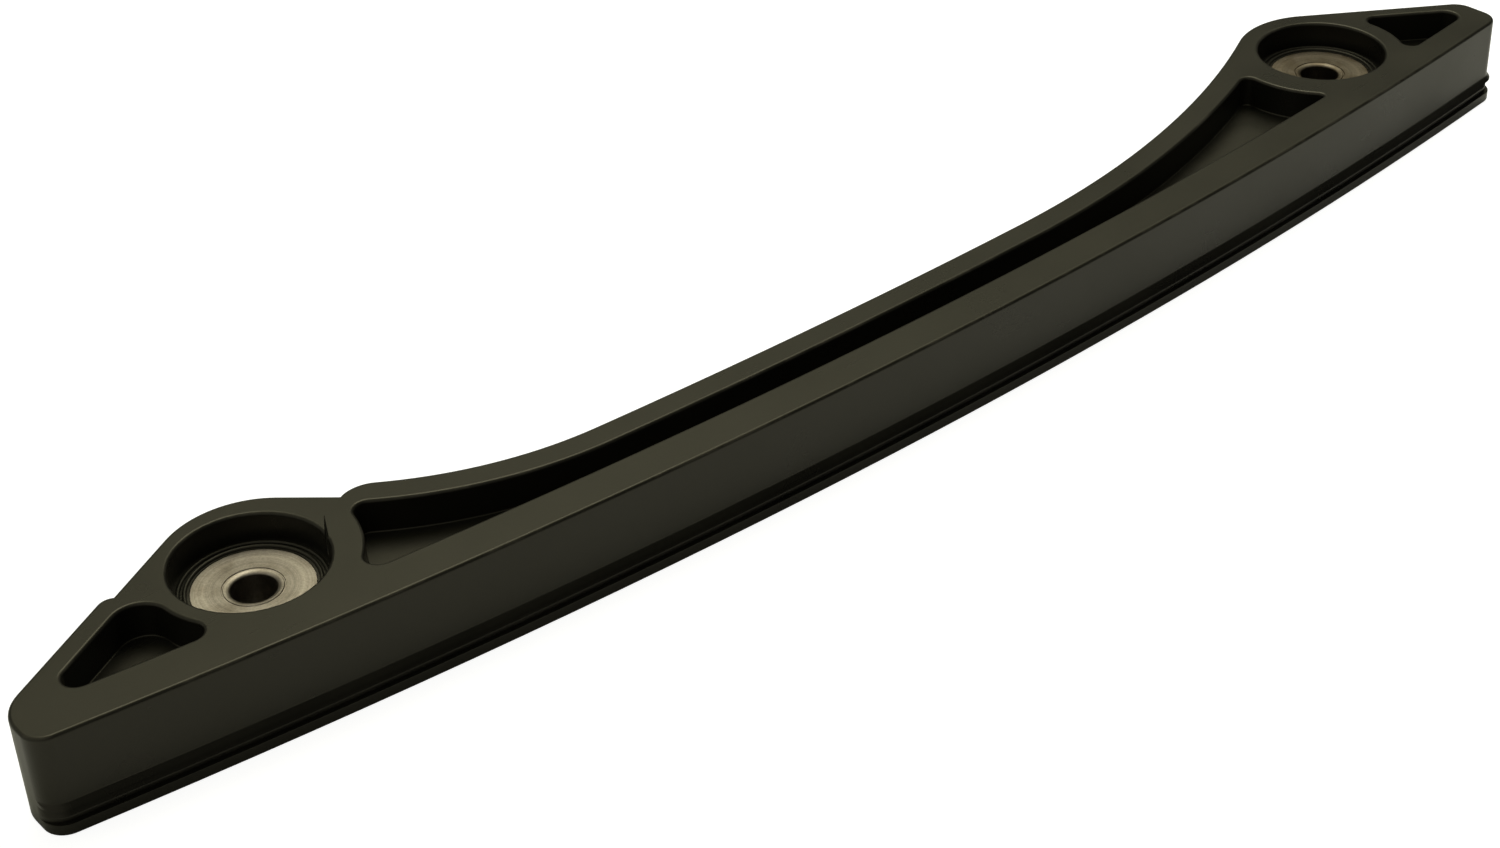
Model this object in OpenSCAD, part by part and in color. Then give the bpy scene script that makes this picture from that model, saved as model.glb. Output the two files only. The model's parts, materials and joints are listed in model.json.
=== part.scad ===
// Timing chain guide: one moulded guide body with a flanged steel bush in each bolt boss.
// The origin lies on the axis of the lower bolt bore, at the mounting face.
// X runs to the upper bore, Z runs along the bores, and the chain slides on the bowed face at -Y.

/* [Bolt bosses] */
// Distance between the two bolt bores
bore_spacing = 225; // [190:1:260]
// Bore for an M6 bolt, with its usual clearance
bore_d = 6.6; // [6.2:0.1:7]
// Outside diameter of the lower boss
lower_boss_d = 29; // [28:0.25:31]
// Outside diameter of the upper boss
upper_boss_d = 30; // [28.5:0.25:32]
// How far the lower boss is set towards the middle of the guide
lower_boss_shift = 1.2; // [0:0.1:1.5]
// Diameter of the recess that takes the bolt head
counterbore_d = 22.5; // [21:0.25:24]
// Depth of that recess down to the flange of the bush
counterbore_depth = 4.5; // [3:0.25:6]
// Height of the two fine rings moulded round the flange
ring_h = 0.35; // [0.2:0.05:0.6]

/* [Bushes] */
// Diameter of the flange under the bolt head
flange_d = 17.6; // [16:0.2:19]
// Thickness of the flange
flange_t = 1.5; // [1:0.1:2.5]
// Wall of the tube below the flange
tube_wall = 1.6; // [1.2:0.1:2.2]
// Radius that leads from the flange into the bore
entry_r = 0.9; // [0.4:0.1:1.2]
// Chamfer round the outside of the tube's foot
foot_chamfer = 0.4; // [0.2:0.1:0.6]
// Gap all round between a bush and the body
bush_clearance = 0.05; // [0.02:0.01:0.15]

/* [Guide body] */
// Height of the body along the bores
body_h = 16; // [14:0.5:20]
// Radius of the bowed face that the chain slides on
chain_r = 1170; // [1050:10:1350]
// Where the bow stands out farthest, measured along X
chain_apex_x = 105; // [95:1:120]
// Distance from the bore line to that farthest place
chain_apex_y = 23.8; // [23:0.2:26]
// Width of the beam between the bosses
beam_w = 16.3; // [15:0.1:18]
// Depth of the pockets, from the top and from below
pocket_depth = 5.5; // [3:0.25:6.5]

/* [Noses] */
// Reach of the lower nose beyond its bore
lower_end = 40.9; // [38:0.1:46]
// Reach of the upper nose beyond its bore
upper_end = 33.8; // [32:0.1:38]
// Radius of the nose corners on the chain side
front_corner_r = 3.5; // [2:0.25:5]
// Radius of the lower nose's corner on the back
lower_back_corner_r = 7; // [5:0.25:8]
// Radius of the upper nose's corner on the back
upper_back_corner_r = 4; // [3:0.25:6]
// Straight length of the lower nose between its corners
lower_nose_flat = 1.4; // [0.6:0.1:3]
// Straight length of the upper nose between its corners
upper_nose_flat = 3.5; // [2:0.25:5]
// How far the back of the lower nose stands out from the flank of its boss
nose_step = 0.65; // [0.2:0.05:1.2]
// Distance from the lower bore to the rounded end of that step
nose_shoulder_x = 19.1; // [17.5:0.1:21]
// Radius at the end of that step
nose_shoulder_r = 2.5; // [2:0.1:3.5]

/* [Rails round the pockets] */
// Width of the rail behind the chain face
front_rail_w = 7.1; // [6:0.1:8]
// Width of the same rail along the lower nose
lower_nose_rail_w = 7.6; // [6.5:0.1:8.5]
// Width of the same rail along the upper nose
upper_nose_rail_w = 5.7; // [5:0.1:7]
// Width of the rail along the back of the beam
back_rail_w = 4.8; // [4:0.1:5.5]
// Wall on the back of the lower nose
lower_nose_wall = 3.5; // [2.5:0.1:4.5]
// Wall on the back of the upper nose
upper_nose_wall = 2.9; // [2:0.1:4]
// Wall between the lower recess and the pocket in its nose
lower_nose_boss_wall = 2.9; // [2.5:0.1:4]
// Wall between the upper recess and the pocket in its nose
upper_nose_boss_wall = 4; // [2.5:0.1:4.5]
// Radius of the long pocket's end at the lower boss
lower_pocket_end_r = 19.2; // [17.5:0.1:20.5]
// Where the arc of that end is centred, along X
lower_pocket_end_x = -2; // [-4:0.5:0]
// Where the arc of that end is centred, along Y
lower_pocket_end_y = 3; // [1:0.5:5]
// Radius of the long pocket's end, round the upper bore
upper_pocket_end_r = 17; // [16:0.1:18.5]
// Sweep from the beam up to the lower boss
lower_sweep_r = 60; // [54:1:70]
// Where that sweep is centred along X
lower_sweep_x = 57.5; // [52:0.5:62]
// Sweep from the beam up to the upper boss
upper_sweep_r = 178; // [150:2:200]
// Slope of the lower boss towards the beam, in degrees
lower_flank_angle = 47.5; // [40:0.5:54]
// Radius round the end of the back rail at the lower boss
rail_end_r = 5.75; // [4.5:0.25:7]
// Distance from the lower bore to the middle of that round
rail_end_reach = 20.2; // [19:0.1:22]

/* [Pocket corners] */
// Tip of a nose pocket
tip_corner_r = 2.2; // [1:0.1:3]
// Lower nose pocket, at the back of the boss
lower_head_corner_r = 4; // [2:0.1:4.5]
// Upper nose pocket, at the back of the boss
upper_head_corner_r = 1.8; // [1:0.1:3]
// Any pocket, where the chain rail meets the lower boss
lower_rail_corner_r = 2.2; // [0.8:0.1:2.5]
// Upper nose pocket, where the chain rail meets the upper boss
upper_rail_corner_r = 1.6; // [0.8:0.1:2.5]
// Long pocket, at the back of the lower boss
lower_pocket_corner_r = 2; // [1.5:0.1:3]
// Long pocket, at the back of the upper boss
upper_pocket_corner_r = 1.5; // [0.8:0.1:2.5]
// Long pocket, where the chain rail meets the upper boss
sharp_corner_r = 0.8; // [0.5:0.1:1.5]

/* [Lip and bead along the chain face] */
// How far the lip stands out
lip_out = 0.7; // [0.6:0.05:1.4]
// Height of the lip
lip_h = 1.8; // [1:0.1:2.5]
// Height of the bead's lower edge, with a groove between it and the lip
bead_z = 4; // [3:0.1:5]
// Thickness of the bead at its crest
bead_h = 0.35; // [0.2:0.05:0.8]
// How far the bead stands out
bead_out = 0.65; // [0.3:0.05:0.7]
// Radius of the hollow that leads from the face down to the bead
cove_r = 1.2; // [1:0.05:3]

/* [Underside of the bosses] */
// Depth of the ring-shaped hollow round each bush
core_depth = 5.5; // [3:0.25:6]
// Wall left round the tube of the bush
core_wall = 3.1; // [2:0.1:4]

/* [Hidden] */
nylon = [0.13, 0.125, 0.105];
steel = [0.68, 0.65, 0.58];
// A cut runs this far past the face that it opens
over = 1;
// Flats that stand for an arc stay this close to it
chord_gap = 0.008;
$fn = 96;

lower = [0, 0];
upper = [bore_spacing, 0];
lower_boss = [lower_boss_shift, 0];
lower_pocket_end = [lower_pocket_end_x, lower_pocket_end_y];
lower_boss_r = lower_boss_d / 2;
upper_boss_r = upper_boss_d / 2;
recess_r = counterbore_d / 2;
seat_z = body_h - counterbore_depth;
tube_r = bore_d / 2 + tube_wall;
bow = [chain_apex_x, chain_r - chain_apex_y];
beam_back_r = chain_r - beam_w;

// Plane geometry

function polar(r, a) = r * [cos(a), sin(a)];

function heading(a, b) = atan2(b.y - a.y, b.x - a.x);

function wrap(a) = a - 360 * floor(a / 360);

function arc_points(c, r, from, sweep) =
    let (n = max(2, ceil(abs(sweep) / (2 * acos(1 - min(1, chord_gap / r))))))
    [for (i = [0:n]) c + polar(r, from + sweep * i / n)];

// Arc that turns left, or right, from one direction to another
function left_arc(c, r, from, to) = arc_points(c, r, from, wrap(to - from));

function right_arc(c, r, from, to) = arc_points(c, r, from, -wrap(from - to));

// Point at distances ra from a and rb from b, on the left of the way from a to b, or on its right
function meet(a, ra, b, rb, side) =
    let (
        d = norm(b - a),
        along = (ra * ra - rb * rb + d * d) / (2 * d),
        across = sqrt(ra * ra - along * along),
        u = (b - a) / d
    )
    a + along * u + side * across * [-u.y, u.x];

// Centre of an arc of radius r in the corner between an end wall at x and a bow of the given radius
function nose_corner(x, r, bow_r) =
    [x, bow.y - sqrt((bow_r - r) * (bow_r - r) - (x - bow.x) * (x - bow.x))];

// Point on the line that lies dist from c with normal n, at distance r from the bow's centre
function on_line(c, n, dist, r, way) =
    let (
        foot = c + polar(dist, n),
        u = polar(1, n + way * 90),
        k = (foot - bow) * u,
        m = (foot - bow) * (foot - bow) - r * r
    )
    foot + (-k + sqrt(k * k - m)) * u;

// Nose corners and the straight backs between them and the bosses

lower_nose_x = lower_back_corner_r - lower_end;
upper_nose_x = bore_spacing + upper_end - upper_back_corner_r;
lower_back = [
    lower_nose_x,
    nose_corner(front_corner_r - lower_end, front_corner_r, chain_r).y + lower_nose_flat
];
upper_back = [
    upper_nose_x,
    nose_corner(bore_spacing + upper_end - front_corner_r, front_corner_r, chain_r).y + upper_nose_flat
];
nose_back = lower_boss_r + nose_step;
lower_normal = heading(lower, lower_back) - acos((nose_back - lower_back_corner_r) / norm(lower_back - lower));
upper_normal = heading(upper, upper_back) + acos((upper_boss_r - upper_back_corner_r) / norm(upper_back - upper));

// Sweeps of the back, each tangent to the beam

lower_sweep = [
    lower_sweep_x,
    bow.y - sqrt(pow(beam_back_r - lower_sweep_r, 2) - pow(lower_sweep_x - bow.x, 2))
];
upper_sweep = meet(upper, upper_boss_r + upper_sweep_r, bow, beam_back_r - upper_sweep_r, 1);

// Round where the back rail ends at the lower boss, and its start on the flank of that boss
rail_end = meet(lower, rail_end_reach, lower_sweep, lower_sweep_r + rail_end_r, -1);
flank_gap = (lower_boss - rail_end) * polar(1, lower_flank_angle) + lower_boss_r;
rail_end_start = lower_flank_angle + acos(flank_gap / rail_end_r);

// End of the step on the lower nose, where it drops to the flank of the boss
shoulder_along = (nose_back - nose_shoulder_r) / tan(lower_normal) + nose_shoulder_x / sin(lower_normal);
shoulder = polar(nose_back - nose_shoulder_r, lower_normal) + polar(shoulder_along, lower_normal + 90);
step_drop = lower_boss_r + lower_boss * polar(1, lower_normal) - (nose_back - nose_shoulder_r);
shoulder_start = lower_normal - acos(step_drop / nose_shoulder_r);

// Outline of the body; out is how far the chain side stands forward of the chain face
function body_outline(out) =
    let (
        r = chain_r + out,
        lower_front = nose_corner(front_corner_r - lower_end, front_corner_r, r),
        upper_front = nose_corner(bore_spacing + upper_end - front_corner_r, front_corner_r, r)
    )
    concat(
        left_arc(lower_front, front_corner_r, 180, heading(bow, lower_front)),
        left_arc(bow, r, heading(bow, lower_front), heading(bow, upper_front)),
        left_arc(upper_front, front_corner_r, heading(bow, upper_front), 0),
        left_arc(upper_back, upper_back_corner_r, 0, upper_normal),
        left_arc(upper, upper_boss_r, upper_normal, heading(upper, upper_sweep)),
        right_arc(upper_sweep, upper_sweep_r, heading(upper_sweep, upper), heading(bow, upper_sweep)),
        right_arc(bow, beam_back_r, heading(bow, upper_sweep), heading(bow, lower_sweep)),
        right_arc(lower_sweep, lower_sweep_r, heading(bow, lower_sweep), heading(lower_sweep, rail_end)),
        left_arc(rail_end, rail_end_r, heading(rail_end, lower_sweep), rail_end_start),
        left_arc(lower_boss, lower_boss_r, lower_flank_angle, lower_normal),
        left_arc(shoulder, nose_shoulder_r, shoulder_start, lower_normal),
        left_arc(lower_back, lower_back_corner_r, lower_normal, 180)
    );

// Pocket in the lower nose: chain rail, boss and back wall, with a rounded corner between each two
function lower_nose_pocket() =
    let (
        bow_r = chain_r - lower_nose_rail_w,
        ring_r = recess_r + lower_nose_boss_wall,
        back = nose_back - lower_nose_wall,
        tip = on_line(lower, lower_normal, back - tip_corner_r, bow_r - tip_corner_r, 1),
        foot = meet(lower, ring_r + lower_rail_corner_r, bow, bow_r - lower_rail_corner_r, 1),
        head = polar(back - lower_head_corner_r, lower_normal)
            + polar(
                sqrt(pow(ring_r + lower_head_corner_r, 2) - pow(back - lower_head_corner_r, 2)),
                lower_normal + 90
            )
    )
    concat(
        left_arc(tip, tip_corner_r, lower_normal, heading(bow, tip)),
        left_arc(bow, bow_r, heading(bow, tip), heading(bow, foot)),
        left_arc(foot, lower_rail_corner_r, heading(bow, foot), heading(foot, lower)),
        right_arc(lower, ring_r, heading(lower, foot), heading(lower, head)),
        left_arc(head, lower_head_corner_r, heading(head, lower), lower_normal)
    );

// Pocket in the upper nose, the same three sides the other way round
function upper_nose_pocket() =
    let (
        bow_r = chain_r - upper_nose_rail_w,
        ring_r = recess_r + upper_nose_boss_wall,
        back = upper_boss_r - upper_nose_wall,
        tip = on_line(upper, upper_normal, back - tip_corner_r, bow_r - tip_corner_r, -1),
        foot = meet(upper, ring_r + upper_rail_corner_r, bow, bow_r - upper_rail_corner_r, -1),
        head = upper + polar(back - upper_head_corner_r, upper_normal)
            + polar(
                sqrt(pow(ring_r + upper_head_corner_r, 2) - pow(back - upper_head_corner_r, 2)),
                upper_normal - 90
            )
    )
    concat(
        left_arc(foot, upper_rail_corner_r, heading(foot, upper), heading(bow, foot)),
        left_arc(bow, bow_r, heading(bow, foot), heading(bow, tip)),
        left_arc(tip, tip_corner_r, heading(bow, tip), upper_normal),
        left_arc(head, upper_head_corner_r, upper_normal, heading(head, upper)),
        right_arc(upper, ring_r, heading(upper, head), heading(upper, foot))
    );

// Long pocket between the bosses, wide at its ends and a narrow slot along the beam
function long_pocket() =
    let (
        bow_r = chain_r - front_rail_w,
        sweep_r = upper_sweep_r + back_rail_w,
        lower_foot = meet(
            lower_pocket_end, lower_pocket_end_r + lower_rail_corner_r,
            bow, bow_r - lower_rail_corner_r, -1
        ),
        lower_head = meet(
            lower_pocket_end, lower_pocket_end_r + lower_pocket_corner_r,
            lower_sweep, lower_sweep_r + back_rail_w + lower_pocket_corner_r, -1
        ),
        upper_foot = meet(upper, upper_pocket_end_r + sharp_corner_r, bow, bow_r - sharp_corner_r, 1),
        upper_head = meet(
            upper, upper_pocket_end_r + upper_pocket_corner_r,
            upper_sweep, sweep_r + upper_pocket_corner_r, 1
        )
    )
    concat(
        left_arc(
            lower_foot, lower_rail_corner_r,
            heading(lower_foot, lower_pocket_end), heading(bow, lower_foot)
        ),
        left_arc(bow, bow_r, heading(bow, lower_foot), heading(bow, upper_foot)),
        left_arc(upper_foot, sharp_corner_r, heading(bow, upper_foot), heading(upper_foot, upper)),
        right_arc(upper, upper_pocket_end_r, heading(upper, upper_foot), heading(upper, upper_head)),
        left_arc(
            upper_head, upper_pocket_corner_r,
            heading(upper_head, upper), heading(upper_head, upper_sweep)
        ),
        right_arc(upper_sweep, sweep_r, heading(upper_sweep, upper_head), heading(bow, upper_sweep)),
        right_arc(bow, beam_back_r + back_rail_w, heading(bow, upper_sweep), heading(bow, lower_sweep)),
        right_arc(
            lower_sweep, lower_sweep_r + back_rail_w,
            heading(bow, lower_sweep), heading(lower_sweep, lower_head)
        ),
        left_arc(
            lower_head, lower_pocket_corner_r,
            heading(lower_head, lower_sweep), heading(lower_head, lower_pocket_end)
        ),
        right_arc(
            lower_pocket_end, lower_pocket_end_r,
            heading(lower_pocket_end, lower_head), heading(lower_pocket_end, lower_foot)
        )
    );

// All three pockets, cut from the top or from below
module pockets(z) {
    translate([0, 0, z])
        linear_extrude(pocket_depth + over) {
            polygon(lower_nose_pocket());
            polygon(long_pocket());
            polygon(upper_nose_pocket());
        }
}

// Bead with its hollow, turned round c on a wall of radius r, from the height low over the given turn
module bead_turn(c, r, low, from, sweep) {
    // The hollow starts a little inside the wall, so that it meets the wall at an edge
    sunk = 0.05;
    rise = cove_r * sin(acos(1 - (bead_out + sunk) / cove_r));
    head = bead_z + bead_h + rise;
    translate(c)
        rotate(from)
            rotate_extrude(angle = sweep, $fn = ceil(180 / acos(1 - chord_gap / r)))
                polygon(concat(
                    [[r - over, head], [r - over, low], [r + bead_out, low]],
                    right_arc([r - sunk + cove_r, head], cove_r, 180 + asin(rise / cove_r), 180)
                ));
}

// Lip at the foot of the chain face, and the bead above it
module chain_lip() {
    lower_front = nose_corner(front_corner_r - lower_end, front_corner_r, chain_r);
    upper_front = nose_corner(bore_spacing + upper_end - front_corner_r, front_corner_r, chain_r);
    from = wrap(heading(bow, lower_front));
    to = wrap(heading(bow, upper_front));
    // The turns round the corners lie just inside the long one and lap into it by some degrees
    tuck = 0.02;
    lap = 4;
    linear_extrude(lip_h)
        polygon(body_outline(lip_out));
    intersection() {
        union() {
            bead_turn(lower_front, front_corner_r - tuck, bead_z + tuck, 180, from - 180 + lap);
            bead_turn(bow, chain_r, bead_z, from, to - from);
            bead_turn(upper_front, front_corner_r - tuck, bead_z + tuck, to - lap, 360 - to + lap);
        }
        linear_extrude(body_h)
            polygon(body_outline(lip_out));
    }
}

// Recess for the bolt head, seat of the bush and hollow below, at one boss
module boss_cuts() {
    translate([0, 0, seat_z])
        cylinder(r = recess_r, h = counterbore_depth + over);
    translate([0, 0, seat_z - flange_t])
        cylinder(r = flange_d / 2 + bush_clearance, h = flange_t + over);
    translate([0, 0, -over])
        cylinder(r = tube_r + bush_clearance, h = body_h);
    translate([0, 0, -over])
        difference() {
            cylinder(r = recess_r, h = core_depth + over);
            translate([0, 0, -over])
                cylinder(r = tube_r + core_wall, h = core_depth + 3 * over);
        }
}

// Two fine rings on the floor of the recess, round the flange
module flange_rings() {
    ledge = recess_r - flange_d / 2;
    for (share = [0.28, 0.66])
        rotate_extrude()
            translate([flange_d / 2 + share * ledge, seat_z])
                intersection() {
                    circle(r = ring_h, $fn = 24);
                    translate([-ring_h, -ring_h / 2])
                        square([2 * ring_h, 2 * ring_h]);
                }
}

module guide_body() {
    color(nylon) {
        difference() {
            union() {
                linear_extrude(body_h)
                    polygon(body_outline(0));
                chain_lip();
            }
            pockets(body_h - pocket_depth);
            pockets(-over);
            translate(lower)
                boss_cuts();
            translate(upper)
                boss_cuts();
        }
        translate(lower)
            flange_rings();
        translate(upper)
            flange_rings();
    }
}

// Flanged bush that the bolt clamps, standing on the mounting face
module bush() {
    bore_r = bore_d / 2;
    color(steel)
        rotate_extrude()
            polygon(concat(
                [[bore_r, 0], [tube_r - foot_chamfer, 0], [tube_r, foot_chamfer]],
                [[tube_r, seat_z - flange_t], [flange_d / 2, seat_z - flange_t], [flange_d / 2, seat_z]],
                left_arc([bore_r + entry_r, seat_z - entry_r], entry_r, 90, 180)
            ));
}

module lower_bush() {
    translate(lower)
        bush();
}

module upper_bush() {
    translate(upper)
        bush();
}

guide_body();
lower_bush();
upper_bush();
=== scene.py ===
"""Timing chain guide: the moulded body and its two turned bushes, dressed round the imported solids."""

import json
import math

import bmesh
import bpy
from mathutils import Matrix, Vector


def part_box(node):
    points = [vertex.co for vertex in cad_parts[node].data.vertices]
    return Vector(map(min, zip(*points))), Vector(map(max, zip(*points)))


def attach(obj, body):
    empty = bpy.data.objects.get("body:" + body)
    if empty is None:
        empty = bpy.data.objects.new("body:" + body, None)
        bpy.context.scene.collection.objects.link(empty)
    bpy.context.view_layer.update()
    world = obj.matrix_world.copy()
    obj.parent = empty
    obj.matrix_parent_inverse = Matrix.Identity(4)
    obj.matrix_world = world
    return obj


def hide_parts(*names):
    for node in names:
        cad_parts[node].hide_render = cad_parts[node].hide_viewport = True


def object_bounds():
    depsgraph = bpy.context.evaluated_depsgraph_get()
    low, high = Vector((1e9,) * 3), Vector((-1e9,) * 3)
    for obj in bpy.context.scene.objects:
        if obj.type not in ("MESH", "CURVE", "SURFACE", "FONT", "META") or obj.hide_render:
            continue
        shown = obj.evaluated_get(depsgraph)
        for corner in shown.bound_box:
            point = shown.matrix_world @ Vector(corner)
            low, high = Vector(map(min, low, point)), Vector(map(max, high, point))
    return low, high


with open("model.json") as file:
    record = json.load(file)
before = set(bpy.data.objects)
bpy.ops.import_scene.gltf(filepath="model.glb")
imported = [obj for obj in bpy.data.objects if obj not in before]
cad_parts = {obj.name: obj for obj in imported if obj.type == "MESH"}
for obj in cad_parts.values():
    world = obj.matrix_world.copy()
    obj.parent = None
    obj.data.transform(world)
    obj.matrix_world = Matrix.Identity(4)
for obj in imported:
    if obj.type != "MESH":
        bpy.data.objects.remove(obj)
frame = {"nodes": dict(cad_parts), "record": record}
CAD_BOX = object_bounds()

bl_info = {
    "name": "Timing Chain Guide",
    "version": (1, 0, 0),
    "blender": (4, 5, 0),
    "location": "View3D > Sidebar > Chain Guide",
    "description": "Builds the looks of a moulded timing chain guide and its bolt bushes",
    "category": "Object",
}

MM = 0.001

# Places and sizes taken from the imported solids
LOWER_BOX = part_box("lower_bush")
UPPER_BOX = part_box("upper_bush")
LOWER_BORE = (LOWER_BOX[0] + LOWER_BOX[1]) / 2
UPPER_BORE = (UPPER_BOX[0] + UPPER_BOX[1]) / 2
FOOT = CAD_BOX[0].z
TOP = CAD_BOX[1].z
SEAT = LOWER_BOX[1].z
FLANGE_R = (LOWER_BOX[1].x - LOWER_BOX[0].x) / 2
BORE_R = next(m for m in frame["record"]["mounts"] if m["name"] == "lower_bolt_bore")["dims"]["r_mm"] * MM

# Working limits of the bench tools
WELD = 1e-6
FLAT_ANGLE = math.radians(0.05)
SHARP_ANGLE = math.radians(28)
SMOOTH_ANGLE = math.radians(30)
LEVEL_TOL = 0.02 * MM
LEDGE_TOL = 0.03 * MM
LATHE_STEPS = 144

# Faces across each round of the moulding
RIM_STEPS = 4
FOOT_STEPS = 2
FLOOR_STEPS = 3
LIP_STEPS = 2

# The wedge that cuts the nick: its height, and the share of each size that is left where it runs out
NICK_HEIGHT = 7 * MM
NICK_RUN_OUT = (1, 0.12, 0.06)

# Depth of the groove between a bush's flange and the ring round its bore, which its width follows
SEAM = 0.14 * MM

# Tones across a bush's face, from RING_FROM to RING_TO out from the axis; the darker first tone, on the bore
# wall, is painted shade in the bore
RING_FROM = 3 * MM
RING_TO = 9 * MM
RING_TONES_AND_BORE_SHADE = (
    (0.052, 0.75), (0.07, 0.85), (0.21, 0.95), (0.3, 0.78), (0.38, 0.86),
    (0.45, 0.76), (0.52, 0.84), (0.54, 0.62), (0.56, 0.95), (0.8, 1.0),
)

# The dark band along the bead: heights over which it fades at its top and its foot, and its lean upward
BAND_UPPER_FADE = (5.0 * MM, 4.5 * MM)
BAND_LOWER_FADE = (2.4 * MM, 2.8 * MM)
BAND_LEAN = (0, 0, 0.84)

# Heights over which the wear and painted highlight of the top rims fade in
RIM_WEAR_AND_HIGHLIGHT_FADE = (TOP - 0.5 * MM, TOP - 0.2 * MM)

# How much less matt a rub mark is
RUB_GLOSS = -0.04

# Takes the height out of a vector
FLATTEN = (1, 1, 0)

# Light that the surroundings give, by the cosine to the direction of each glow
SKY_STRENGTH = 4.8
SKY_DARK = (0.006, 0.006, 0.0055)
SKY_BRIGHT = (1.0, 0.96, 0.8)
SKY_TINT = (1.0, 0.98, 0.68)
SKY_STOPS = (
    (0.4, 0.006), (0.72, 0.009), (0.79, 0.011), (0.82, 0.013), (0.838, 0.025), (0.853, 0.073),
    (0.867, 0.155), (0.885, 0.16), (0.903, 0.115), (0.93, 0.105), (0.957, 0.24), (0.98, 0.85),
)
SIDE_DARK = (0.0, 0.0, 0.0)
SIDE_BRIGHT = (0.07, 0.069, 0.055)
SIDE_TINT = (1.0, 0.98, 0.78)
SIDE_STOPS = ((0.25, 0.003), (0.5, 0.025), (0.7, 0.055), (0.85, 0.07))

# Share of the white surroundings that the finishes mirror
MIRRORED_WHITE = 0.025

# How strongly the floor shines by itself, and the share of that which the camera sees
FLOOR_SHINE = 1.8
FLOOR_SHARE = 0.5
FLOOR_SIZE = 6
FLOOR_GAP = 0.05 * MM

# The key lamp
KEY_PLACE = (0.36, 0.09, 0.41)
KEY_SIZE = 0.25
KEY_POWER = 0.9
KEY_COLOUR = (1.0, 0.99, 0.92)


class BodyLooks(bpy.types.PropertyGroup):
    """Sizes and colours of the moulded body."""

    pocket_depth: bpy.props.FloatProperty(
        name="Pocket depth", description="Depth of the pockets from the top and from below",
        default=5.5 * MM, unit="LENGTH", precision=5
    )
    lip_height: bpy.props.FloatProperty(
        name="Lip height", description="Height of the lip at the foot of the chain face",
        default=1.8 * MM, unit="LENGTH", precision=5
    )
    bead_height: bpy.props.FloatProperty(
        name="Bead height", description="Height of the lower edge of the bead above the lip",
        default=4 * MM, unit="LENGTH", precision=5
    )
    rim_round: bpy.props.FloatProperty(
        name="Rim round", description="Radius along the top rims",
        default=0.55 * MM, unit="LENGTH", precision=5
    )
    floor_round: bpy.props.FloatProperty(
        name="Floor round", description="Radius where a pocket's wall meets its floor",
        default=0.25 * MM, unit="LENGTH", precision=5
    )
    foot_round: bpy.props.FloatProperty(
        name="Foot round", description="Radius along the bottom edges",
        default=0.3 * MM, unit="LENGTH", precision=5
    )
    lip_round: bpy.props.FloatProperty(
        name="Lip round", description="Radius along the edges of the lip and the bead",
        default=0.12 * MM, unit="LENGTH", precision=5
    )
    nick_from: bpy.props.FloatVectorProperty(
        name="Nick from", description="Where the nick opens at the rim of the lower recess",
        subtype="XYZ", size=2, default=(11.0 * MM, -2.5 * MM), precision=5
    )
    nick_to: bpy.props.FloatVectorProperty(
        name="Nick to", description="Where the nick runs out",
        subtype="XYZ", size=2, default=(13.4 * MM, 1.9 * MM), precision=5
    )
    nick_width: bpy.props.FloatProperty(
        name="Nick width", description="Width of the nick at the rim",
        default=0.55 * MM, unit="LENGTH", precision=5
    )
    nylon: bpy.props.FloatVectorProperty(
        name="Nylon", description="Colour of the moulding",
        subtype="COLOR", size=3, min=0, max=1, default=(0.0080, 0.0077, 0.0061)
    )
    nylon_pale: bpy.props.FloatVectorProperty(
        name="Pale nylon", description="Colour of the faint clouds in the moulding",
        subtype="COLOR", size=3, min=0, max=1, default=(0.0108, 0.0103, 0.0079)
    )
    # Paler rim colour: partly rubbed wear, partly a painted highlight
    scuff_and_painted_highlight: bpy.props.FloatVectorProperty(
        name="Scuff", description="Colour of the rubbed rims",
        subtype="COLOR", size=3, min=0, max=1, default=(0.030, 0.028, 0.023)
    )


class BushLooks(bpy.types.PropertyGroup):
    """Sizes and colours of the turned bushes."""

    edge_round: bpy.props.FloatProperty(
        name="Edge round", description="Radius round the edge of the flange",
        default=0.14 * MM, unit="LENGTH", precision=5
    )
    entry_round: bpy.props.FloatProperty(
        name="Entry round", description="Radius that leads from the flange into the bore",
        default=0.9 * MM, unit="LENGTH", precision=5
    )
    flange: bpy.props.FloatProperty(
        name="Flange", description="Thickness of the flange",
        default=1.5 * MM, unit="LENGTH", precision=5
    )
    wall: bpy.props.FloatProperty(
        name="Wall", description="Wall of the tube",
        default=1.6 * MM, unit="LENGTH", precision=5
    )
    foot: bpy.props.FloatProperty(
        name="Foot", description="Chamfer round the foot of the tube",
        default=0.4 * MM, unit="LENGTH", precision=5
    )
    steel: bpy.props.FloatVectorProperty(
        name="Steel", description="Colour of the turned steel",
        subtype="COLOR", size=3, min=0, max=1, default=(0.42, 0.378, 0.343)
    )
    stain: bpy.props.FloatVectorProperty(
        name="Stain", description="Colour of the oil film on the steel",
        subtype="COLOR", size=3, min=0, max=1, default=(0.178, 0.146, 0.112)
    )
    # Extra film on the upper bush: partly a brown oil film, partly painted shade that darkens that bush
    upper_film_and_shade: bpy.props.FloatProperty(
        name="Upper film", description="Oil film that the upper bush carries beyond the lower one",
        default=0.75, min=0, max=1
    )


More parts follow.
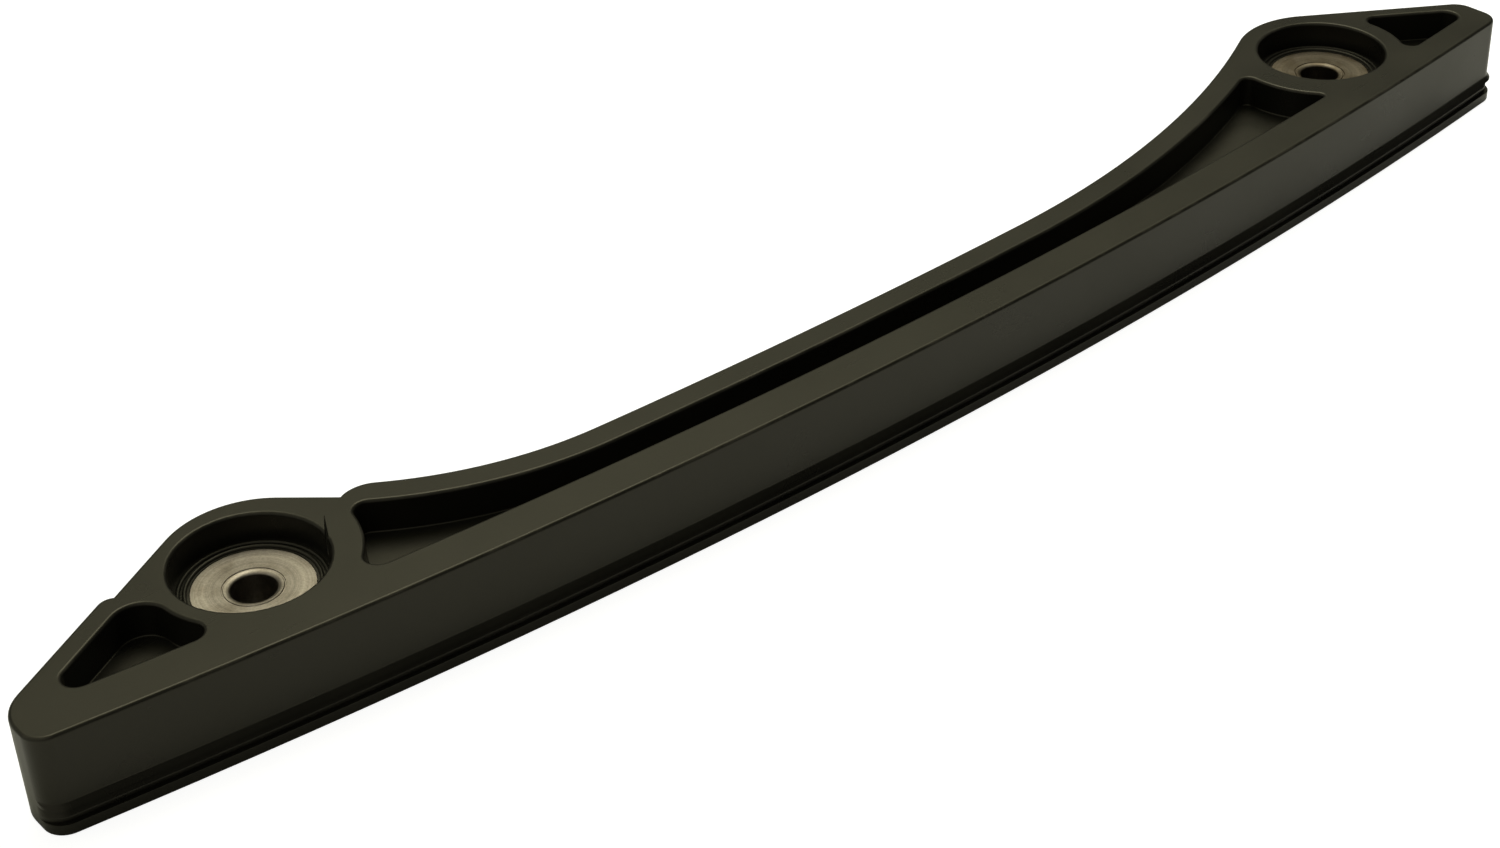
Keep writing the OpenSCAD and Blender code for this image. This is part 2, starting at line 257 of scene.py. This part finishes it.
class StageLooks(bpy.types.PropertyGroup):
    """Floor, light and camera."""

    floor: bpy.props.FloatVectorProperty(
        name="Floor", description="Colour of the floor",
        subtype="COLOR", size=3, min=0, max=1, default=(0.8, 0.81, 0.82)
    )
    glow: bpy.props.FloatVectorProperty(
        name="Glow", description="Direction of the large soft light",
        subtype="DIRECTION", size=3, default=(0.3214, 0.3830, 0.8660), precision=4
    )
    side_glow: bpy.props.FloatVectorProperty(
        name="Side glow", description="Direction of the faint wide light from the other side",
        subtype="DIRECTION", size=3, default=(-0.75, 0.0, 0.6614), precision=4
    )
    lens: bpy.props.FloatProperty(
        name="Lens", description="Focal length of the camera, in millimetres", default=64.406, precision=3
    )
    eye: bpy.props.FloatVectorProperty(
        name="Eye", description="Place of the camera",
        subtype="TRANSLATION", size=3, default=(-0.13123, -0.27517, 0.23417), precision=5
    )
    gaze: bpy.props.FloatVectorProperty(
        name="Gaze", description="Turn of the camera", subtype="EULER", size=3,
        default=(math.radians(56.0896), math.radians(2.1463), math.radians(-40.1169)), precision=5
    )


# Tools of the bench


def only(obj):
    """Makes obj the only selected object."""
    if bpy.context.object and bpy.context.object.mode != "OBJECT":
        bpy.ops.object.mode_set(mode="OBJECT")
    bpy.ops.object.select_all(action="DESELECT")
    obj.select_set(True)
    bpy.context.view_layer.objects.active = obj


def copy_of(node, name):
    """A merged copy of a CAD node, with flat faces made whole again."""
    obj = bpy.data.objects.new(name, frame["nodes"][node].data.copy())
    bpy.context.scene.collection.objects.link(obj)
    only(obj)
    bpy.ops.object.mode_set(mode="EDIT")
    bpy.ops.mesh.select_all(action="SELECT")
    bpy.ops.mesh.remove_doubles(threshold=WELD)
    bpy.ops.mesh.customdata_custom_splitnormals_clear()
    bpy.ops.mesh.select_all(action="SELECT")
    bpy.ops.mesh.dissolve_limited(angle_limit=FLAT_ANGLE)
    bpy.ops.object.mode_set(mode="OBJECT")
    return obj


def round_edges(obj, width, segments, wanted):
    """Rounds the sharp edges that the test picks."""
    only(obj)
    bpy.ops.object.mode_set(mode="EDIT")
    bpy.context.tool_settings.mesh_select_mode = (False, True, False)
    bpy.ops.mesh.select_all(action="DESELECT")
    bm = bmesh.from_edit_mesh(obj.data)
    found = 0
    for e in bm.edges:
        if len(e.link_faces) == 2 and e.calc_face_angle(0) > SHARP_ANGLE and wanted(e):
            e.select_set(True)
            found += 1
    bmesh.update_edit_mesh(obj.data)
    if not found:
        raise RuntimeError(f"no edge of {obj.name} was found to round")
    bpy.ops.mesh.bevel(offset=width, segments=segments, profile=0.5, affect="EDGES", clamp_overlap=False)
    bpy.ops.object.mode_set(mode="OBJECT")


def level(e, z, tol=LEVEL_TOL):
    """Tells whether an edge lies at height z."""
    return all(abs(v.co.z - z) < tol for v in e.verts)


def smooth(obj):
    """Smooth shading over the rounds, flat on the flats."""
    only(obj)
    bpy.ops.object.shade_smooth_by_angle(angle=SMOOTH_ANGLE)
    weighted = obj.modifiers.new("weighted", "WEIGHTED_NORMAL")
    weighted.keep_sharp = True
    bpy.ops.object.modifier_apply(modifier=weighted.name)


def lathe(name, axis, profile):
    """A turned piece: one vertex drawn along the profile of (radius, height) and spun about the axis."""
    bpy.ops.object.select_all(action="DESELECT")
    bpy.ops.mesh.primitive_plane_add(size=MM, location=(0, 0, 0))
    obj = bpy.context.object
    obj.name = obj.data.name = name
    bpy.ops.object.mode_set(mode="EDIT")
    bpy.context.tool_settings.mesh_select_mode = (True, False, False)
    bpy.ops.mesh.select_all(action="SELECT")
    bpy.ops.mesh.merge(type="CENTER")
    bpy.ops.transform.translate(value=(axis.x + profile[0][0], axis.y, profile[0][1]))
    for (r0, z0), (r1, z1) in zip(profile, profile[1:]):
        bpy.ops.mesh.extrude_region_move(TRANSFORM_OT_translate={"value": (r1 - r0, 0, z1 - z0)})
    bpy.ops.mesh.select_all(action="SELECT")
    bpy.ops.mesh.spin(steps=LATHE_STEPS, angle=2 * math.pi, center=(axis.x, axis.y, 0), axis=(0, 0, 1))
    bpy.ops.mesh.select_all(action="SELECT")
    bpy.ops.mesh.remove_doubles(threshold=WELD)
    bpy.ops.mesh.normals_make_consistent(inside=False)
    bpy.ops.object.mode_set(mode="OBJECT")
    return obj


def dress(obj, material):
    """Gives obj one material."""
    obj.data.materials.clear()
    obj.data.materials.append(material)


# Finishes


def new_group(name, inputs, outputs):
    """An empty shader node group with named sockets."""
    group = bpy.data.node_groups.new(name, "ShaderNodeTree")
    for label, kind, value in inputs:
        socket = group.interface.new_socket(label, in_out="INPUT", socket_type=kind)
        if value is not None:
            socket.default_value = value
    for label, kind in outputs:
        group.interface.new_socket(label, in_out="OUTPUT", socket_type=kind)
    return group, group.nodes.new("NodeGroupInput"), group.nodes.new("NodeGroupOutput")


def add(tree, kind, sets=None, ins=None, links=None):
    """A node with its settings, and its inputs by name or number."""
    node = tree.nodes.new(kind)
    for key, value in (sets or {}).items():
        setattr(node, key, value)
    for key, value in (ins or {}).items():
        node.inputs[key].default_value = value
    for key, socket in (links or {}).items():
        tree.links.new(socket, node.inputs[key])
    return node


def spread(tree, value, start, end, low=0.0, high=1.0):
    """A node that spreads the values from start to end over the range from low to high."""
    ins = {"From Min": start, "From Max": end, "To Min": low, "To Max": high}
    return add(tree, "ShaderNodeMapRange", ins=ins, links={"Value": value})


def times(tree, one, other):
    """A node that multiplies two values."""
    return add(tree, "ShaderNodeMath", sets={"operation": "MULTIPLY"}, links={0: one, 1: other})


def set_tones(ramp, first, last, stops, tint):
    """Fills a colour ramp with its end colours and, between them, stops of one tint."""
    ramp.elements[0].color = (*first, 1)
    ramp.elements[1].color = (*last, 1)
    for place, tone in stops:
        ramp.elements.new(place).color = (*(tone * t for t in tint), 1)


def moulded_skin():
    """Fine grain, soft clouds and rub marks of a moulded surface."""
    group, come, go = new_group(
        "moulded skin",
        [
            ("Vector", "NodeSocketVector", None),
            ("Grain size", "NodeSocketFloat", 0.3 * MM),
            ("Cloud size", "NodeSocketFloat", 22 * MM),
        ],
        [("Height", "NodeSocketFloat"), ("Cloud", "NodeSocketFloat"), ("Rub", "NodeSocketFloat")],
    )
    grain_scale = add(
        group, "ShaderNodeMath", sets={"operation": "DIVIDE"}, ins={0: 1.0},
        links={1: come.outputs["Grain size"]},
    )
    cloud_scale = add(
        group, "ShaderNodeMath", sets={"operation": "DIVIDE"}, ins={0: 1.0},
        links={1: come.outputs["Cloud size"]},
    )
    grain = add(
        group, "ShaderNodeTexNoise", ins={"Detail": 3.0, "Roughness": 0.6},
        links={"Vector": come.outputs["Vector"], "Scale": grain_scale.outputs[0]},
    )
    cloud = add(
        group, "ShaderNodeTexNoise", ins={"Detail": 4.0, "Roughness": 0.55},
        links={"Vector": come.outputs["Vector"], "Scale": cloud_scale.outputs[0]},
    )
    clear = spread(group, cloud.outputs["Fac"], 0.35, 0.65)
    drawn = add(
        group, "ShaderNodeMapping", ins={"Rotation": (0, 0, 0.5), "Scale": (90, 900, 300)},
        links={"Vector": come.outputs["Vector"]},
    )
    streak = add(
        group, "ShaderNodeTexNoise", ins={"Scale": 1.0, "Detail": 3.0, "Roughness": 0.6},
        links={"Vector": drawn.outputs[0]},
    )
    rub = spread(group, streak.outputs["Fac"], 0.62, 0.74)
    group.links.new(grain.outputs["Fac"], go.inputs["Height"])
    group.links.new(clear.outputs[0], go.inputs["Cloud"])
    group.links.new(rub.outputs[0], go.inputs["Rub"])
    return group


def rim_wear_and_painted_highlight():
    """Where handling has rubbed the rounded rims along the top, in broken lengths; the paler colour there is
    partly this wear and partly a painted highlight on the upward-facing part of the rims.
    """
    group, come, go = new_group(
        "rim wear and painted highlight",
        [("Vector", "NodeSocketVector", None), ("Normal", "NodeSocketVector", None)],
        [("Wear and highlight", "NodeSocketFloat")],
    )
    place = add(group, "ShaderNodeSeparateXYZ", links={0: come.outputs["Vector"]})
    facing = add(group, "ShaderNodeSeparateXYZ", links={0: come.outputs["Normal"]})
    rim = spread(group, place.outputs["Z"], *RIM_WEAR_AND_HIGHLIGHT_FADE)
    rising = spread(group, facing.outputs["Z"], 0.35, 0.6)
    falling = spread(group, facing.outputs["Z"], 0.99, 0.9)
    patch = add(
        group, "ShaderNodeTexNoise", ins={"Scale": 110.0, "Detail": 5.0, "Roughness": 0.65},
        links={"Vector": come.outputs["Vector"]},
    )
    broken = spread(group, patch.outputs["Fac"], 0.48, 0.62)
    mask = rim
    for other in (rising, falling, broken):
        mask = times(group, mask.outputs[0], other.outputs[0])
    group.links.new(mask.outputs[0], go.inputs["Wear and highlight"])
    return group


def dark_band():
    """Leans the normal upward along the bead, so that the band there mirrors no floor and stays dark."""
    group, come, go = new_group(
        "dark band",
        [("Vector", "NodeSocketVector", None), ("Normal", "NodeSocketVector", None)],
        [("Normal", "NodeSocketVector")],
    )
    place = add(group, "ShaderNodeSeparateXYZ", links={0: come.outputs["Vector"]})
    facing = add(group, "ShaderNodeSeparateXYZ", links={0: come.outputs["Normal"]})
    front = spread(group, facing.outputs["Y"], -0.15, -0.5)
    upper = spread(group, place.outputs["Z"], *BAND_UPPER_FADE)
    lower = spread(group, place.outputs["Z"], *BAND_LOWER_FADE)
    band = times(group, upper.outputs[0], lower.outputs[0])
    share = times(group, band.outputs[0], front.outputs[0])
    flat = add(
        group, "ShaderNodeVectorMath", sets={"operation": "MULTIPLY"}, ins={1: FLATTEN},
        links={0: come.outputs["Normal"]},
    )
    outward = add(
        group, "ShaderNodeVectorMath", sets={"operation": "NORMALIZE"}, links={0: flat.outputs[0]}
    )
    raised = add(
        group, "ShaderNodeVectorMath", sets={"operation": "ADD"}, ins={1: BAND_LEAN},
        links={0: outward.outputs[0]},
    )
    mixed = add(
        group, "ShaderNodeMix", sets={"data_type": "VECTOR"},
        links={0: share.outputs[0], 4: come.outputs["Normal"], 5: raised.outputs[0]},
    )
    turned = add(
        group, "ShaderNodeVectorMath", sets={"operation": "NORMALIZE"}, links={0: mixed.outputs[1]}
    )
    group.links.new(turned.outputs[0], go.inputs["Normal"])
    return group


def nylon_finish(looks):
    """Black polyamide with a fine moulded grain."""
    material = bpy.data.materials.new("moulded nylon")
    material.use_nodes = True
    tree = material.node_tree
    shader = tree.nodes["Principled BSDF"]
    where = add(tree, "ShaderNodeTexCoord")
    lie = add(tree, "ShaderNodeNewGeometry")
    spot = {"Vector": where.outputs["Object"]}
    spot_and_lie = {**spot, "Normal": lie.outputs["Normal"]}
    skin = add(tree, "ShaderNodeGroup", sets={"node_tree": moulded_skin()}, links=spot)
    rim = add(tree, "ShaderNodeGroup", sets={"node_tree": rim_wear_and_painted_highlight()}, links=spot_and_lie)
    foot_band = add(tree, "ShaderNodeGroup", sets={"node_tree": dark_band()}, links=spot_and_lie)
    tint = add(
        tree, "ShaderNodeMix", sets={"data_type": "RGBA"},
        ins={6: (*looks.nylon, 1), 7: (*looks.nylon_pale, 1)}, links={0: skin.outputs["Cloud"]},
    )
    # The top rims are painted paler: partly rubbed wear, partly a painted highlight
    scuffed_and_highlighted = add(
        tree, "ShaderNodeMix", sets={"data_type": "RGBA"}, ins={7: (*looks.scuff_and_painted_highlight, 1)},
        links={0: rim.outputs["Wear and highlight"], 6: tint.outputs[2]},
    )
    matt = spread(tree, skin.outputs["Cloud"], 0.0, 1.0, low=0.27, high=0.36)
    worn = add(
        tree, "ShaderNodeMath", sets={"operation": "MULTIPLY_ADD"}, ins={1: RUB_GLOSS},
        links={0: skin.outputs["Rub"], 2: matt.outputs[0]},
    )
    bump = add(
        tree, "ShaderNodeBump", ins={"Strength": 0.25, "Distance": 0.03 * MM},
        links={"Height": skin.outputs["Height"], "Normal": foot_band.outputs["Normal"]},
    )
    tree.links.new(scuffed_and_highlighted.outputs[2], shader.inputs["Base Color"])
    tree.links.new(worn.outputs[0], shader.inputs["Roughness"])
    tree.links.new(bump.outputs[0], shader.inputs["Normal"])
    shader.inputs["IOR"].default_value = 1.53
    shader.inputs["Specular IOR Level"].default_value = 0.35
    shader.inputs["Specular Tint"].default_value = (1.0, 0.95, 0.82, 1)
    return material


def turning_marks():
    """Rings left by the tool and the bolt head, from the distance to the axis, and painted shade on the bore
    wall.
    """
    group, come, go = new_group(
        "turning marks",
        [("Vector", "NodeSocketVector", None)],
        [("Height", "NodeSocketFloat"), ("Tone", "NodeSocketFloat"), ("Film", "NodeSocketFloat")],
    )
    flat = add(
        group, "ShaderNodeVectorMath", sets={"operation": "MULTIPLY"}, ins={1: FLATTEN},
        links={0: come.outputs[0]},
    )
    radius = add(group, "ShaderNodeVectorMath", sets={"operation": "LENGTH"}, links={0: flat.outputs[0]})
    ring = add(
        group, "ShaderNodeTexNoise", sets={"noise_dimensions": "1D"},
        ins={"Scale": 2200.0, "Detail": 4.0, "Roughness": 0.7}, links={"W": radius.outputs["Value"]},
    )
    film = add(
        group, "ShaderNodeTexNoise", ins={"Scale": 260.0, "Detail": 4.0}, links={"Vector": come.outputs[0]}
    )
    patch = spread(group, film.outputs["Fac"], 0.45, 0.72, high=0.6)
    across = spread(group, radius.outputs["Value"], RING_FROM, RING_TO)
    # The ramp's first tone darkens the bore wall: painted shade
    bands = add(group, "ShaderNodeValToRGB", links={"Fac": across.outputs[0]})
    set_tones(bands.color_ramp, (0.75, 0.75, 0.72), (0.95, 0.95, 0.95), RING_TONES_AND_BORE_SHADE, (1.0, 1.0, 1.0))
    streak = spread(group, ring.outputs["Fac"], 0.3, 0.7, low=0.8, high=1.12)
    tone = times(group, bands.outputs["Color"], streak.outputs[0])
    speck = add(
        group, "ShaderNodeTexNoise", ins={"Scale": 3500.0, "Detail": 2.0}, links={"Vector": come.outputs[0]}
    )
    pitted = spread(group, speck.outputs["Fac"], 0.35, 0.65, low=0.86, high=1.06)
    worn = times(group, tone.outputs[0], pitted.outputs[0])
    group.links.new(ring.outputs["Fac"], go.inputs["Height"])
    group.links.new(worn.outputs[0], go.inputs["Tone"])
    group.links.new(patch.outputs[0], go.inputs["Film"])
    return group


def turned_steel(looks, marks, bore, film, name):
    """Turned steel with rings round the bore, painted shade on the bore wall and a thin brown film; the
    extra film that the upper bush gets is partly a brown oil film and partly painted shade.
    """
    material = bpy.data.materials.new(name)
    material.use_nodes = True
    tree = material.node_tree
    shader = tree.nodes["Principled BSDF"]
    where = add(tree, "ShaderNodeTexCoord")
    centred = add(
        tree, "ShaderNodeMapping", ins={"Location": (-bore.x, -bore.y, 0)},
        links={"Vector": where.outputs["Object"]},
    )
    turned = add(tree, "ShaderNodeGroup", sets={"node_tree": marks}, links={"Vector": centred.outputs[0]})
    # Film patches, plus the upper bush's extra film, which is partly painted shade
    oiled_and_shaded = add(
        tree, "ShaderNodeMath", sets={"operation": "ADD", "use_clamp": True}, ins={1: film},
        links={0: turned.outputs["Film"]},
    )
    tint = add(
        tree, "ShaderNodeMix", sets={"data_type": "RGBA"},
        ins={6: (*looks.steel, 1), 7: (*looks.stain, 1)}, links={0: oiled_and_shaded.outputs[0]},
    )
    toned = add(
        tree, "ShaderNodeMix", sets={"data_type": "RGBA", "blend_type": "MULTIPLY"}, ins={0: 1.0},
        links={6: tint.outputs[2], 7: turned.outputs["Tone"]},
    )
    matt = spread(tree, turned.outputs["Height"], 0.0, 1.0, low=0.36, high=0.5)
    bump = add(
        tree, "ShaderNodeBump", ins={"Strength": 0.3, "Distance": 0.02 * MM},
        links={"Height": turned.outputs["Height"]},
    )
    tree.links.new(toned.outputs[2], shader.inputs["Base Color"])
    tree.links.new(matt.outputs[0], shader.inputs["Roughness"])
    tree.links.new(bump.outputs[0], shader.inputs["Normal"])
    shader.inputs["Metallic"].default_value = 1.0
    return material


# Pieces


class OBJECT_OT_guide_body(bpy.types.Operator):
    """Moulded body with rounded rims and the nick in its lower recess"""

    bl_idname = "object.guide_body"
    bl_label = "Moulded Body"

    def execute(self, context):
        looks = context.scene.guide_body
        body = copy_of("guide_body", "moulded_body")
        floors = (TOP - looks.pocket_depth, FOOT + looks.pocket_depth)
        ledges = (FOOT + looks.lip_height, FOOT + looks.bead_height)
        round_edges(body, looks.rim_round, RIM_STEPS, lambda e: level(e, TOP))
        round_edges(body, looks.foot_round, FOOT_STEPS, lambda e: level(e, FOOT))
        round_edges(body, looks.floor_round, FLOOR_STEPS, lambda e: any(level(e, z) for z in floors))
        round_edges(
            body, looks.lip_round, LIP_STEPS,
            lambda e: e.is_convex and any(level(e, z, LEDGE_TOL) for z in ledges),
        )
        self.cut_nick(body, looks)
        smooth(body)
        dress(body, nylon_finish(looks))
        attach(body, "root")
        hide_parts("guide_body")
        return {"FINISHED"}

    def cut_nick(self, body, looks):
        """Cuts the nick: a wedge that is wide and deep at the rim and runs out on the top face."""
        start = Vector((*looks.nick_from, TOP))
        along = Vector((*looks.nick_to, TOP)) - start
        bpy.ops.object.select_all(action="DESELECT")
        bpy.ops.mesh.primitive_cube_add(size=1, location=(0, 0, 0))
        wedge = bpy.context.object
        bpy.ops.object.mode_set(mode="EDIT")
        bpy.ops.mesh.select_all(action="SELECT")
        bpy.ops.transform.resize(value=(along.length, looks.nick_width, NICK_HEIGHT))
        bm = bmesh.from_edit_mesh(wedge.data)
        for v in bm.verts:
            v.select_set(v.co.x > 0)
        bmesh.update_edit_mesh(wedge.data)
        bpy.ops.transform.resize(value=NICK_RUN_OUT, center_override=(0, 0, 0))
        bpy.ops.mesh.select_all(action="SELECT")
        turn = -math.atan2(along.y, along.x)
        bpy.ops.transform.rotate(value=turn, orient_axis="Z", center_override=(0, 0, 0))
        bpy.ops.transform.translate(value=start + along / 2)
        bpy.ops.object.mode_set(mode="OBJECT")
        only(body)
        cut = body.modifiers.new("nick", "BOOLEAN")
        cut.operation = "DIFFERENCE"
        cut.solver = "EXACT"
        cut.object = wedge
        bpy.ops.object.modifier_apply(modifier=cut.name)
        bpy.data.meshes.remove(wedge.data)


class OBJECT_OT_guide_bushes(bpy.types.Operator):
    """Two turned bushes with their flanges"""

    bl_idname = "object.guide_bushes"
    bl_label = "Turned Bushes"

    def execute(self, context):
        looks = context.scene.guide_bushes
        marks = turning_marks()
        profile = self.section(looks)
        # The upper bush gets extra film: partly a brown oil film, partly painted shade
        places = (("lower_bush", LOWER_BORE, 0.0), ("upper_bush", UPPER_BORE, looks.upper_film_and_shade))
        for name, bore, film in places:
            bush = lathe(f"turned_{name}", bore, profile)
            smooth(bush)
            finish = f"turned steel of the {name.replace('_', ' ')}"
            dress(bush, turned_steel(looks, marks, bore, film, finish))
            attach(bush, "root")
            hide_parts(name)
        return {"FINISHED"}

    def section(self, looks):
        """The bush cut in half; the round that leads into its bore is half as deep as it is wide."""
        tube, soft, lead = BORE_R + looks.wall, looks.edge_round, looks.entry_round
        under, ring = SEAT - looks.flange, BORE_R + looks.entry_round
        arcs = [math.radians(a) for a in range(90, 181, 10)]
        return [
            (BORE_R + soft, 0), (tube - looks.foot, 0), (tube, looks.foot), (tube, under),
            (FLANGE_R - soft, under), (FLANGE_R, under + soft), (FLANGE_R, SEAT - soft),
            (FLANGE_R - 0.3 * soft, SEAT - 0.3 * soft), (FLANGE_R - soft, SEAT),
            (ring + 2.2 * SEAM, SEAT), (ring + 1.6 * SEAM, SEAT - SEAM),
            (ring + 0.8 * SEAM, SEAT - SEAM), (ring + 0.4 * SEAM, SEAT - 0.25 * SEAM),
            *((ring + lead * math.cos(a), SEAT - 0.5 * lead + 0.5 * lead * math.sin(a)) for a in arcs),
            (BORE_R, soft), (BORE_R + soft, 0),
        ]


class OBJECT_OT_guide_stage(bpy.types.Operator):
    """Pale floor, soft light and the camera"""

    bl_idname = "object.guide_stage"
    bl_label = "Stage"

    def execute(self, context):
        looks = context.scene.guide_stage
        middle = (CAD_BOX[0] + CAD_BOX[1]) / 2
        self.lay_floor(context, looks, middle)
        self.light_world(context.scene, looks)
        self.hang_lamp(context.scene, middle)
        self.set_camera(context.scene, looks)
        context.scene.view_settings.view_transform = "Standard"
        return {"FINISHED"}

    def lay_floor(self, context, looks, middle):
        """A pale floor that looks nearly white to the camera."""
        bpy.ops.object.select_all(action="DESELECT")
        bpy.ops.mesh.primitive_plane_add(size=FLOOR_SIZE, location=(middle.x, middle.y, FOOT - FLOOR_GAP))
        floor = context.object
        floor.name = "floor"
        material = bpy.data.materials.new("pale floor")
        material.use_nodes = True
        tree = material.node_tree
        shader = tree.nodes["Principled BSDF"]
        shader.inputs["Base Color"].default_value = (*looks.floor, 1)
        shader.inputs["Roughness"].default_value = 0.9
        shader.inputs["Specular IOR Level"].default_value = 0.0
        white = add(tree, "ShaderNodeEmission", ins={"Color": (1, 1, 1, 1), "Strength": FLOOR_SHINE})
        path = add(tree, "ShaderNodeLightPath")
        part = add(
            tree, "ShaderNodeMath", sets={"operation": "MULTIPLY"}, ins={1: FLOOR_SHARE},
            links={0: path.outputs["Is Camera Ray"]},
        )
        blend = add(
            tree, "ShaderNodeMixShader",
            links={0: part.outputs[0], 1: shader.outputs[0], 2: white.outputs[0]},
        )
        tree.links.new(blend.outputs[0], tree.nodes["Material Output"].inputs["Surface"])
        dress(floor, material)

    def light_world(self, scene, looks):
        """Dark surroundings with a large glow and a faint side glow; the camera sees them white."""
        world = bpy.data.worlds.new("studio")
        scene.world = world
        world.use_nodes = True
        tree = world.node_tree
        back = tree.nodes["Background"]
        path = add(tree, "ShaderNodeLightPath")
        white = add(tree, "ShaderNodeBackground", ins={"Color": (1, 1, 1, 1), "Strength": 1.0})
        main_glow = self.glow(tree, looks.glow)
        set_tones(main_glow.color_ramp, SKY_DARK, SKY_BRIGHT, SKY_STOPS, SKY_TINT)
        side_glow = self.glow(tree, looks.side_glow)
        set_tones(side_glow.color_ramp, SIDE_DARK, SIDE_BRIGHT, SIDE_STOPS, SIDE_TINT)
        both = add(
            tree, "ShaderNodeMix", sets={"data_type": "RGBA", "blend_type": "ADD"}, ins={0: 1.0},
            links={6: main_glow.outputs["Color"], 7: side_glow.outputs["Color"]},
        )
        tree.links.new(both.outputs[2], back.inputs["Color"])
        back.inputs["Strength"].default_value = SKY_STRENGTH
        seen = add(
            tree, "ShaderNodeMath", sets={"operation": "MAXIMUM"},
            links={0: path.outputs["Is Camera Ray"], 1: path.outputs["Is Transmission Ray"]},
        )
        share = add(
            tree, "ShaderNodeMath", sets={"operation": "MULTIPLY_ADD", "use_clamp": True},
            ins={1: MIRRORED_WHITE}, links={0: path.outputs["Is Glossy Ray"], 2: seen.outputs[0]},
        )
        blend = add(
            tree, "ShaderNodeMixShader", links={0: share.outputs[0], 1: back.outputs[0], 2: white.outputs[0]}
        )
        tree.links.new(blend.outputs[0], tree.nodes["World Output"].inputs["Surface"])

    def glow(self, tree, direction):
        """A colour ramp over the cosine between the sky's direction and the glow's."""
        sky = add(tree, "ShaderNodeTexCoord")
        near = add(
            tree, "ShaderNodeVectorMath", sets={"operation": "DOT_PRODUCT"}, ins={1: direction},
            links={0: sky.outputs["Generated"]},
        )
        return add(tree, "ShaderNodeValToRGB", links={"Fac": near.outputs["Value"]})

    def hang_lamp(self, scene, middle):
        """The key lamp, which lights the floor and gives the contact shadow but isn't mirrored."""
        lamp = bpy.data.lights.new("key", "AREA")
        lamp.size = KEY_SIZE
        lamp.energy = KEY_POWER
        lamp.color = KEY_COLOUR
        lamp_object = bpy.data.objects.new("key", lamp)
        scene.collection.objects.link(lamp_object)
        lamp_object.location = KEY_PLACE
        lamp_object.visible_glossy = False
        lamp_object.rotation_euler = (middle - Vector(KEY_PLACE)).to_track_quat("-Z", "Y").to_euler()

    def set_camera(self, scene, looks):
        """The camera, placed by a fit to the photograph."""
        data = bpy.data.cameras.new("camera")
        data.sensor_width = 36
        data.lens = looks.lens
        data.clip_start = 0.01
        camera = bpy.data.objects.new("camera", data)
        scene.collection.objects.link(camera)
        camera.location = looks.eye
        camera.rotation_euler = looks.gaze
        scene.camera = camera


class VIEW3D_PT_chain_guide(bpy.types.Panel):
    """Builds and sets the chain guide"""

    bl_idname = "VIEW3D_PT_chain_guide"
    bl_label = "Chain Guide"
    bl_space_type = "VIEW_3D"
    bl_region_type = "UI"
    bl_category = "Chain Guide"

    def draw(self, context):
        for group, operator in PANEL_ROWS:
            box = self.layout.box()
            looks = getattr(context.scene, group)
            for name in looks.bl_rna.properties.keys():
                if name not in ("rna_type", "name"):
                    box.prop(looks, name)
            box.operator(operator)


PANEL_ROWS = (
    ("guide_body", "object.guide_body"),
    ("guide_bushes", "object.guide_bushes"),
    ("guide_stage", "object.guide_stage"),
)
CLASSES = (
    BodyLooks,
    BushLooks,
    StageLooks,
    OBJECT_OT_guide_body,
    OBJECT_OT_guide_bushes,
    OBJECT_OT_guide_stage,
    VIEW3D_PT_chain_guide,
)


def register():
    for cls in CLASSES:
        bpy.utils.register_class(cls)
    bpy.types.Scene.guide_body = bpy.props.PointerProperty(type=BodyLooks)
    bpy.types.Scene.guide_bushes = bpy.props.PointerProperty(type=BushLooks)
    bpy.types.Scene.guide_stage = bpy.props.PointerProperty(type=StageLooks)


def unregister():
    del bpy.types.Scene.guide_stage
    del bpy.types.Scene.guide_bushes
    del bpy.types.Scene.guide_body
    for cls in reversed(CLASSES):
        bpy.utils.unregister_class(cls)


def main():
    register()
    bpy.ops.object.guide_body()
    bpy.ops.object.guide_bushes()
    bpy.ops.object.guide_stage()


if __name__ == "__main__":
    main()
